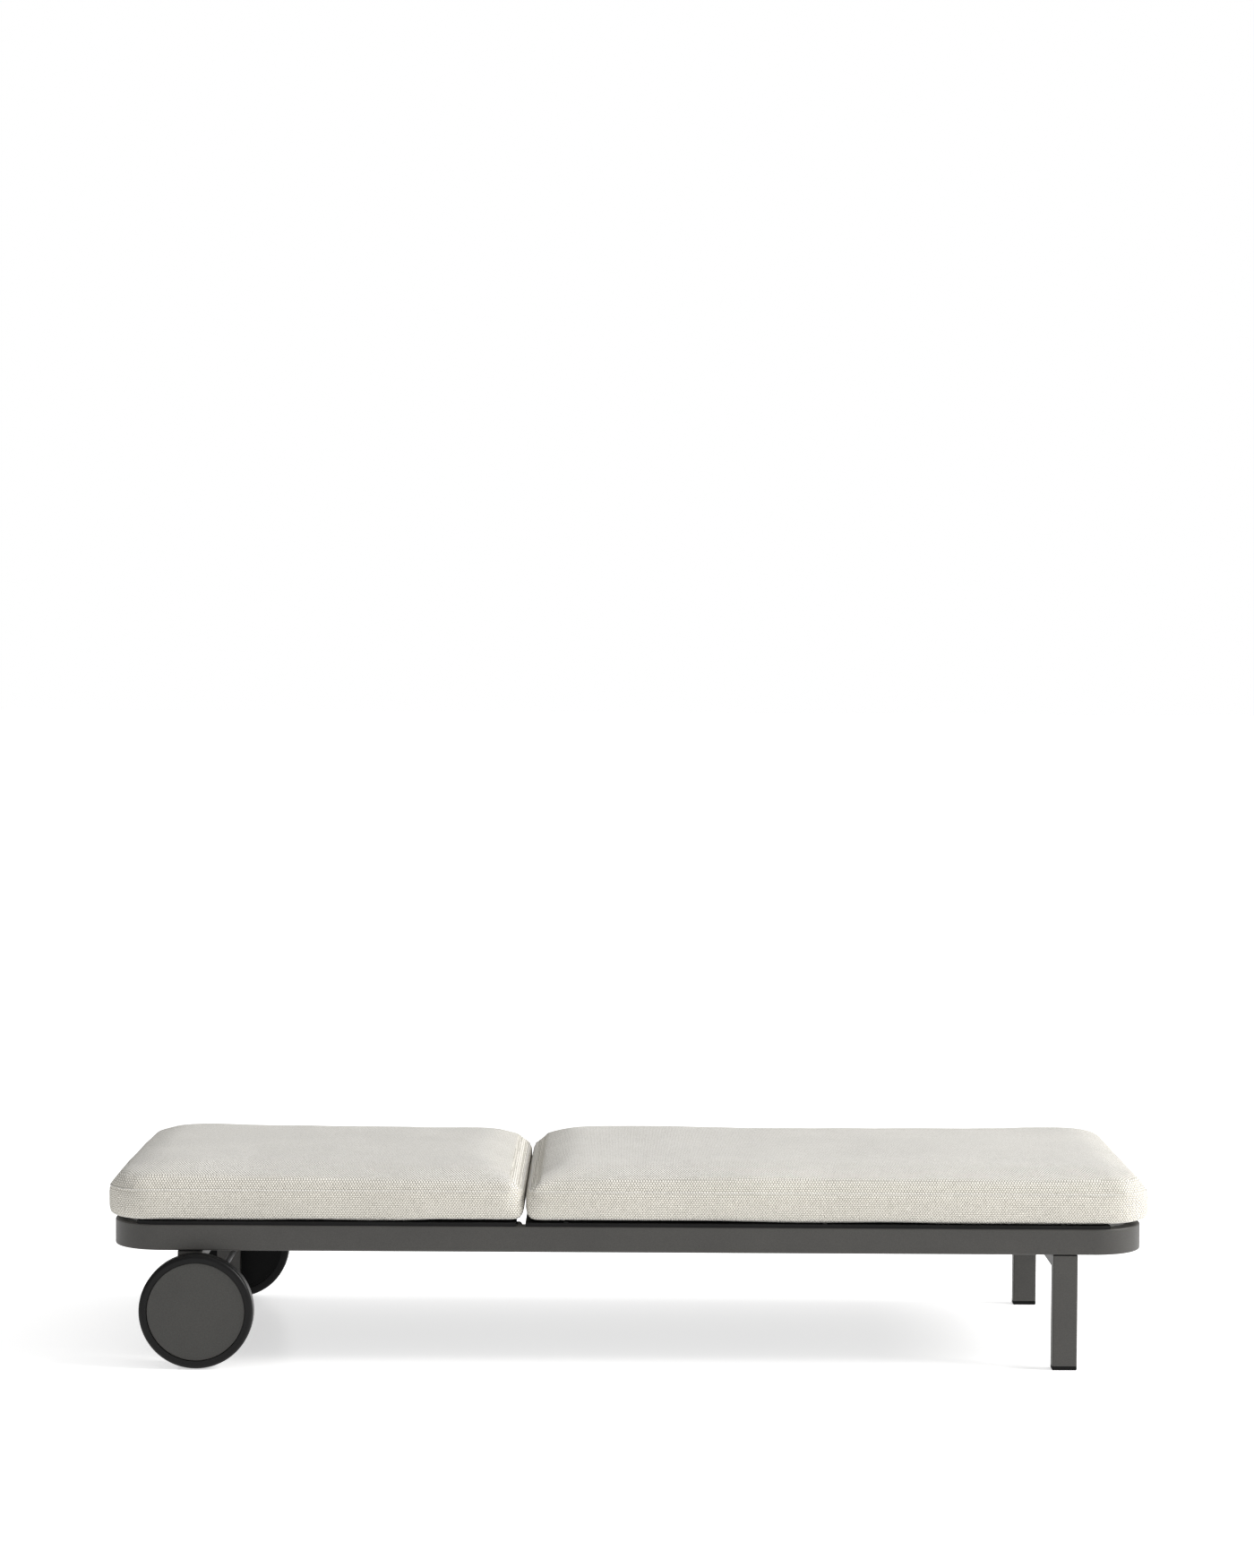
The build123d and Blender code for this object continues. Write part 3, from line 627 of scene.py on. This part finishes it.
def round_crown(obj, lo, hi, radii, base, height, fall, outer_low):
    """Lays the top on one smooth crown, full to near the edges and softly rounded at the corners.

    The top falls evenly from the low-X end to the high-X end.
    """
    x, y, z = coords(obj.data).T
    close = inside_by(x, y, lo, hi, radii)
    wide = inside_by(x, y, lo, hi, tuple(max(r, SOFT_CORNER * CROWN_REACH) for r in radii))
    share = eased(close / (SOFT_CORNER_FULL * CROWN_REACH))
    from_gap = np.abs(x - (hi[0] if outer_low else lo[0]))
    fullness = GAP_FULLNESS + (FULLNESS - GAP_FULLNESS) * eased(from_gap / FULLNESS_REACH)
    rise = crown((close + (wide - close) * share) / CROWN_REACH, fullness)
    dome = DOME * (1 - (y / hi[1]) ** 2) * rise
    height = height - fall * (x - lo[0]) / (hi[0] - lo[0])
    target = base + SEAM_HEIGHT + (height - SEAM_HEIGHT) * rise + dome
    weight = eased((close - CROWN_START) / CROWN_START_SPREAD) * (z > base + SEAM_HEIGHT)
    z += (target - z) * weight
    set_coords(obj.data, np.stack([x, y, z], axis=1))


def smooth_crown(obj, lo, hi, radii, seam):
    """Evens out the top, lightly beside the seam and strongly further in."""
    x, y, z = coords(obj.data).T
    close = inside_by(x, y, lo, hi, radii)
    share = SMOOTH_AT_EDGE + (1 - SMOOTH_AT_EDGE) * eased((close - SMOOTH_START) / SMOOTH_SPREAD)
    group = obj.vertex_groups.new(name="crown")
    for index in np.flatnonzero(z > seam + SMOOTH_ABOVE_SEAM * VOXEL):
        group.add([int(index)], float(share[index]), "REPLACE")
    even = obj.modifiers.new("even", "SMOOTH")
    even.factor = 0.5
    even.iterations = CROWN_SMOOTHING
    even.vertex_group = "crown"
    apply_modifiers(obj)


def outward(x, y, low, high):
    """Unit directions out of the cushion: square to its sides, fanned at its corners."""
    middle = np.array(((low.x + high.x) / 2, (low.y + high.y) / 2))
    reach = np.array(((high.x - low.x) / 2, (high.y - low.y) / 2)) - OUTER_CORNER
    towards = np.stack((x, y), axis=1) - middle
    towards = np.sign(towards) * np.maximum(np.abs(towards) - reach, 0)
    return towards / np.maximum(np.linalg.norm(towards, axis=1), 1e-6)[:, None]


def shape_cushion(obj, low, high, radii, base, height, outer_low):
    """What the filling does: a base that curls up at the gap, soft hollows, a drawn-in seam."""
    co = coords(obj.data)
    x, y, z = co.T
    from_gap = np.abs(x - (high.x if outer_low else low.x))
    rise = np.clip((z - base) / height, 0, 1)
    curl = np.clip(1 - from_gap / GAP_LIFT_REACH, 0, 1) ** 2
    z += GAP_LIFT * curl * np.clip(1 - rise * GAP_LIFT_FADE, 0, 1)
    above_seam = eased((z - base - SEAM_HEIGHT) / GAP_OPEN_RISE)
    part = above_seam * np.clip(1 - from_gap / GAP_OPEN_REACH, 0, 1)
    x += np.where(outer_low, -1.0, 1.0) * GAP_OPEN * part
    wave = soft_noise(co, BASE_WAVE_SCALE, 2 * BASE_WAVE, seed=11) + BASE_WAVE / 3
    z += np.clip(wave, 0, BASE_WAVE) * np.clip(1 - rise * BASE_WAVE_FADE, 0, 1)
    on_top = np.clip((z - base - TOP_START) / TOP_SPREAD, 0, 1)
    broad = soft_noise(co, *BROAD_HOLLOWS, seed=2 + outer_low)
    z += (broad + soft_noise(co, *FINE_HOLLOWS, seed=5)) * on_top
    y += soft_noise(co, *BOXING_SWELL, seed=8) * (1 - on_top)
    inside = inside_by(x, y, (low.x, low.y), (high.x, high.y), radii)
    near = np.exp(-(((z - base - SEAM_HEIGHT) / SEAM_SPREAD) ** 2)) * (inside < SEAM_BAND)
    out = outward(x, y, low, high)
    x -= out[:, 0] * near * SEAM_SINK
    y -= out[:, 1] * near * SEAM_SINK
    z[:] = np.maximum(z, base)
    x[:] = np.clip(x, low.x + GAP_PLAY, high.x - GAP_PLAY)
    set_coords(obj.data, np.stack([x, y, z], axis=1))


def laid_on(obj, outline, height):
    """Points on the surface, met from outside at one height round an outline."""
    tree = BVHTree.FromPolygons(
        [v.co for v in obj.data.vertices], [p.vertices for p in obj.data.polygons]
    )
    count = len(outline)
    points = []
    for i, (x, y) in enumerate(outline):
        ahead = Vector(outline[(i + 1) % count]) - Vector(outline[i - 1])
        inward = Vector((-ahead.y, ahead.x, 0)).normalized()
        start = Vector((x, y, height)) - inward * WELT_SEARCH
        hit = tree.ray_cast(start, inward)[0]
        if hit is not None:
            points.append(hit)
    return points


def seam_line(name, parent, outline, height, radius):
    """A sewn edge: a thin round welt half sunk in the surface."""
    points = laid_on(parent, outline, height)
    curve = bpy.data.curves.new(name, "CURVE")
    curve.dimensions = "3D"
    curve.bevel_depth = radius
    curve.bevel_resolution = 2
    spline = curve.splines.new("POLY")
    spline.points.add(len(points) - 1)
    for target, point in zip(spline.points, points):
        target.co = (*point, 1)
    spline.use_cyclic_u = True
    holder = new_object(name, curve)
    mesh = made_mesh(holder)
    bpy.data.objects.remove(holder)
    welt = new_object(name, mesh)
    smooth(welt)
    mesh.materials.clear()
    # painted highlight: the lighter welt cloth
    mesh.materials.append(highlighted_welt_cloth)
    return welt


def make_cushion(node, body, outer_low):
    """One cushion in the place of its CAD solid; outer_low says that its outer end is at low X."""
    low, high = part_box(node)
    radii = (OUTER_CORNER, GAP_CORNER[node]) if outer_low else (GAP_CORNER[node], OUTER_CORNER)
    base = low.z
    height = CROWN_HEIGHT[node]
    name = node.replace("_cushion", "_pad")
    lo, hi = start_limits(low, high, outer_low)
    obj = cushion_shell(name, lo, hi, radii, base, height)
    remesh(obj, VOXEL)
    round_crown(obj, lo, hi, radii, base, height, TAPER[node], outer_low)
    x, y, z = coords(obj.data).T
    edge = inside_by(x, y, lo, hi, radii) < EDGE_BAND
    on_seam = (np.abs(z - base - SEAM_HEIGHT) < HELD_AT_SEAM * VOXEL) & edge
    puff(obj, on_seam | (z < base + HELD_AT_BASE * VOXEL))
    smooth_crown(obj, lo, hi, radii, base + SEAM_HEIGHT)
    refine(obj)
    shape_cushion(obj, low, high, radii, base, height, outer_low)
    smooth(obj)
    obj.data.materials.append(finish_of["outdoor_cloth"])
    outline = rounded_outline((low.x, low.y), (high.x, high.y), radii, SEAM_PITCH)
    welts = [
        seam_line(f"{name}_top_seam", obj, outline, base + SEAM_HEIGHT, PIPING),
        seam_line(f"{name}_base_seam", obj, outline, base + BASE_SEAM_HEIGHT, BASE_PIPING),
    ]
    for piece in (obj, *welts):
        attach(piece, body)
    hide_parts(node)
    for piece in (obj, *welts):
        squash_away(piece)
    return obj


def squash_away(piece):
    """Gives the piece a mesh of its own."""
    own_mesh(piece)


# ---------------------------------------------------------------- the scene


def make_floor():
    """A wide, flat, pale floor with a faint glow and a soft sheen."""
    mesh = bmesh.new()
    bmesh.ops.create_grid(mesh, x_segments=1, y_segments=1, size=FLOOR_HALF)
    data = bpy.data.meshes.new("floor")
    mesh.to_mesh(data)
    mesh.free()
    floor = new_object("floor", data)
    m = Nodes("studio_floor")
    cloud = m.noise(scale=0.8)
    m.link(m.ramp(cloud, 0.93, 0.96), m.shader, "Base Color")
    m.set(Roughness=0.3, Specular_IOR_Level=0.35)
    m.set(Emission_Color=(*WHITE, 1), Emission_Strength=FLOOR_GLOW)
    data.materials.append(m.material)


def make_key_light():
    """A large square soft light, high at the foot end."""
    data = bpy.data.lights.new("key", "AREA")
    data.shape = "RECTANGLE"
    data.size, data.size_y = KEY_SIZE
    data.energy = KEY_POWER
    data.color = KEY_COLOUR
    light = bpy.data.objects.new("key", data)
    bpy.context.scene.collection.objects.link(light)
    light.location = KEY_PLACE
    aim = Vector(KEY_TARGET) - Vector(KEY_PLACE)
    light.rotation_euler = aim.to_track_quat("-Z", "Y").to_euler()


def make_world():
    """Pale surroundings, brighter at the foot end, with plain white behind the object."""
    world = bpy.data.worlds.new("studio")
    bpy.context.scene.world = world
    world.use_nodes = True
    tree = world.node_tree
    background = tree.nodes["Background"]
    background.inputs[0].default_value = (*WHITE, 1)
    place = tree.nodes.new("ShaderNodeTexCoord")
    split = tree.nodes.new("ShaderNodeSeparateXYZ")
    fade = tree.nodes.new("ShaderNodeMapRange")
    fade.inputs["From Min"].default_value = -1.0
    fade.inputs["From Max"].default_value = 1.0
    fade.inputs["To Min"].default_value = WORLD_LOW
    fade.inputs["To Max"].default_value = WORLD_HIGH
    backdrop = tree.nodes.new("ShaderNodeBackground")
    backdrop.inputs[0].default_value = (*WHITE, 1)
    seen = tree.nodes.new("ShaderNodeLightPath")
    pick = tree.nodes.new("ShaderNodeMixShader")
    tree.links.new(place.outputs["Generated"], split.inputs[0])
    tree.links.new(split.outputs["X"], fade.inputs["Value"])
    tree.links.new(fade.outputs[0], background.inputs[1])
    tree.links.new(seen.outputs["Is Camera Ray"], pick.inputs[0])
    tree.links.new(background.outputs[0], pick.inputs[1])
    tree.links.new(backdrop.outputs[0], pick.inputs[2])
    tree.links.new(pick.outputs[0], tree.nodes["World Output"].inputs[0])


def make_camera():
    """A long lens on the near side, a little above the cushions and tipped slightly down."""
    data = bpy.data.cameras.new("camera")
    data.sensor_fit = "HORIZONTAL"
    data.sensor_width = SENSOR
    data.lens = LENS
    data.clip_start = 0.1
    data.clip_end = 200.0
    camera = bpy.data.objects.new("camera", data)
    bpy.context.scene.collection.objects.link(camera)
    forward = Vector((
        math.sin(CAMERA_YAW) * math.cos(CAMERA_PITCH),
        math.cos(CAMERA_YAW) * math.cos(CAMERA_PITCH),
        -math.sin(CAMERA_PITCH),
    ))
    right = Vector((math.cos(CAMERA_YAW), -math.sin(CAMERA_YAW), 0.0))
    up = right.cross(forward)
    rolled_right = right * math.cos(CAMERA_ROLL) + up * math.sin(CAMERA_ROLL)
    rolled_up = up * math.cos(CAMERA_ROLL) - right * math.sin(CAMERA_ROLL)
    turn = Matrix((rolled_right, rolled_up, -forward)).transposed()
    camera.matrix_world = Matrix.Translation(CAMERA_PLACE) @ turn.to_4x4()
    bpy.context.scene.camera = camera


dress_frame()
for pad in (
    make_cushion("backrest_cushion", "backrest", True),
    make_cushion("seat_cushion", "frame", False),
):
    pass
make_floor()
make_world()
make_key_light()
make_camera()

bpy.context.scene.view_settings.view_transform = "Standard"
